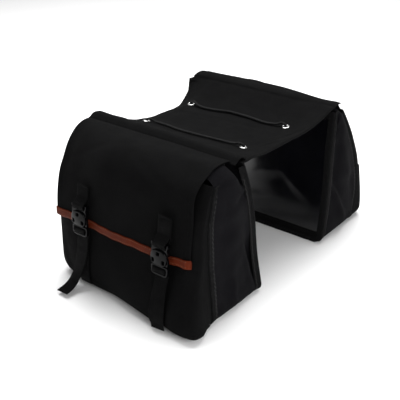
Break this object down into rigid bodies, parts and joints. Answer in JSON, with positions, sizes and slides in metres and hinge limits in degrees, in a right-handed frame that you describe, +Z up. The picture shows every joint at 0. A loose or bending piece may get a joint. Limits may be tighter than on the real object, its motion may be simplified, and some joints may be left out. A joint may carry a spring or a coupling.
{
  "type": "pannier bag",
  "caption": "Double bicycle pannier bag in black canvas: roomy bags under buckled flaps, joined by a saddle panel with corded eyelets that lies over a rear rack.",
  "frame": {"origin": "on the floor, midway between the two bags and midway along them", "axes": "+X along the bags towards the rear of the bicycle, +Y across it from the left bag to the right bag, +Z up"},
  "size_m": [0.3254, 0.611, 0.2675],
  "materials": {
    "canvas": "black woven canvas, matt",
    "coated_panel": "smooth coated fabric over a stiff board, satin",
    "webbing": "black ribbed webbing",
    "leather": "rust brown stitched leather",
    "plastic": "black moulded acetal, semi-gloss",
    "eyelet_steel": "bright nickel",
    "cord": "black braided cord",
    "board": "plain stiffener board"
  },
  "bodies": {
    "saddle": {"saddle_panel": "canvas", "left_fore_eyelet": "eyelet_steel", "left_fore_washer": "eyelet_steel", "left_aft_eyelet": "eyelet_steel", "left_aft_washer": "eyelet_steel", "left_lacing_cord": "cord", "right_fore_eyelet": "eyelet_steel", "right_fore_washer": "eyelet_steel", "right_aft_eyelet": "eyelet_steel", "right_aft_washer": "eyelet_steel", "right_lacing_cord": "cord"},
    "left_fore_prong_front": {"left_fore_prong_front": "plastic"},
    "left_fore_prong_rear": {"left_fore_prong_rear": "plastic"},
    "left_aft_prong_front": {"left_aft_prong_front": "plastic"},
    "left_aft_prong_rear": {"left_aft_prong_rear": "plastic"},
    "left_bag": {"left_inner_panel": "coated_panel", "left_inner_board": "board", "left_gusset": "canvas", "left_bottom_board": "board", "left_outer_panel": "canvas", "left_outer_welt": "canvas", "left_inner_binding": "webbing", "left_top_hem": "canvas", "left_fore_buckle_base": "plastic", "left_fore_lower_strap": "webbing", "left_aft_buckle_base": "plastic", "left_aft_lower_strap": "webbing"},
    "left_flap": {"left_flap": "canvas", "left_flap_trim": "leather", "left_fore_upper_strap": "webbing", "left_fore_socket": "plastic", "left_aft_upper_strap": "webbing", "left_aft_socket": "plastic"},
    "right_fore_prong_front": {"right_fore_prong_front": "plastic"},
    "right_fore_prong_rear": {"right_fore_prong_rear": "plastic"},
    "right_aft_prong_front": {"right_aft_prong_front": "plastic"},
    "right_aft_prong_rear": {"right_aft_prong_rear": "plastic"},
    "right_bag": {"right_inner_panel": "coated_panel", "right_inner_board": "board", "right_gusset": "canvas", "right_bottom_board": "board", "right_outer_panel": "canvas", "right_outer_welt": "canvas", "right_inner_binding": "webbing", "right_top_hem": "canvas", "right_fore_buckle_base": "plastic", "right_fore_lower_strap": "webbing", "right_aft_buckle_base": "plastic", "right_aft_lower_strap": "webbing"},
    "right_flap": {"right_flap": "canvas", "right_flap_trim": "leather", "right_fore_upper_strap": "webbing", "right_fore_socket": "plastic", "right_aft_upper_strap": "webbing", "right_aft_socket": "plastic"}
  },
  "joints": [
    {"name": "left_bag_fold", "type": "hinge", "parent": "saddle", "child": "left_bag", "pos_m": [0, -0.1385, 0.257], "axis": [-1, 0, 0], "range_deg": [-19, 40]},
    {"name": "left_flap_hinge", "type": "hinge", "parent": "left_bag", "child": "left_flap", "pos_m": [0, -0.1655, 0.2685], "axis": [-1, 0, 0], "range_deg": [0, 150]},
    {"name": "left_fore_release_front", "type": "hinge", "parent": "left_bag", "child": "left_fore_prong_front", "pos_m": [-0.0893, -0.2598, 0.1241], "axis": [0, 1, 0], "range_deg": [0, 7], "stiffness_Nm_per_rad": 0.05},
    {"name": "left_fore_release_rear", "type": "hinge", "parent": "left_bag", "child": "left_fore_prong_rear", "pos_m": [-0.0627, -0.2598, 0.1241], "axis": [0, -1, 0], "range_deg": [0, 7], "stiffness_Nm_per_rad": 0.05},
    {"name": "left_aft_release_front", "type": "hinge", "parent": "left_bag", "child": "left_aft_prong_front", "pos_m": [0.0837, -0.2598, 0.1131], "axis": [0, 1, 0], "range_deg": [0, 7], "stiffness_Nm_per_rad": 0.05},
    {"name": "left_aft_release_rear", "type": "hinge", "parent": "left_bag", "child": "left_aft_prong_rear", "pos_m": [0.1103, -0.2598, 0.1131], "axis": [0, -1, 0], "range_deg": [0, 7], "stiffness_Nm_per_rad": 0.05},
    {"name": "right_bag_fold", "type": "hinge", "parent": "saddle", "child": "right_bag", "pos_m": [0, 0.1385, 0.257], "axis": [1, 0, 0], "range_deg": [-19, 40]},
    {"name": "right_flap_hinge", "type": "hinge", "parent": "right_bag", "child": "right_flap", "pos_m": [0, 0.1655, 0.2685], "axis": [1, 0, 0], "range_deg": [0, 150]},
    {"name": "right_fore_release_front", "type": "hinge", "parent": "right_bag", "child": "right_fore_prong_front", "pos_m": [-0.0893, 0.2598, 0.1241], "axis": [0, 1, 0], "range_deg": [0, 7], "stiffness_Nm_per_rad": 0.05},
    {"name": "right_fore_release_rear", "type": "hinge", "parent": "right_bag", "child": "right_fore_prong_rear", "pos_m": [-0.0627, 0.2598, 0.1241], "axis": [0, -1, 0], "range_deg": [0, 7], "stiffness_Nm_per_rad": 0.05},
    {"name": "right_aft_release_front", "type": "hinge", "parent": "right_bag", "child": "right_aft_prong_front", "pos_m": [0.0837, 0.2598, 0.1131], "axis": [0, 1, 0], "range_deg": [0, 7], "stiffness_Nm_per_rad": 0.05},
    {"name": "right_aft_release_rear", "type": "hinge", "parent": "right_bag", "child": "right_aft_prong_rear", "pos_m": [0.1103, 0.2598, 0.1131], "axis": [0, -1, 0], "range_deg": [0, 7], "stiffness_Nm_per_rad": 0.05}
  ]
}
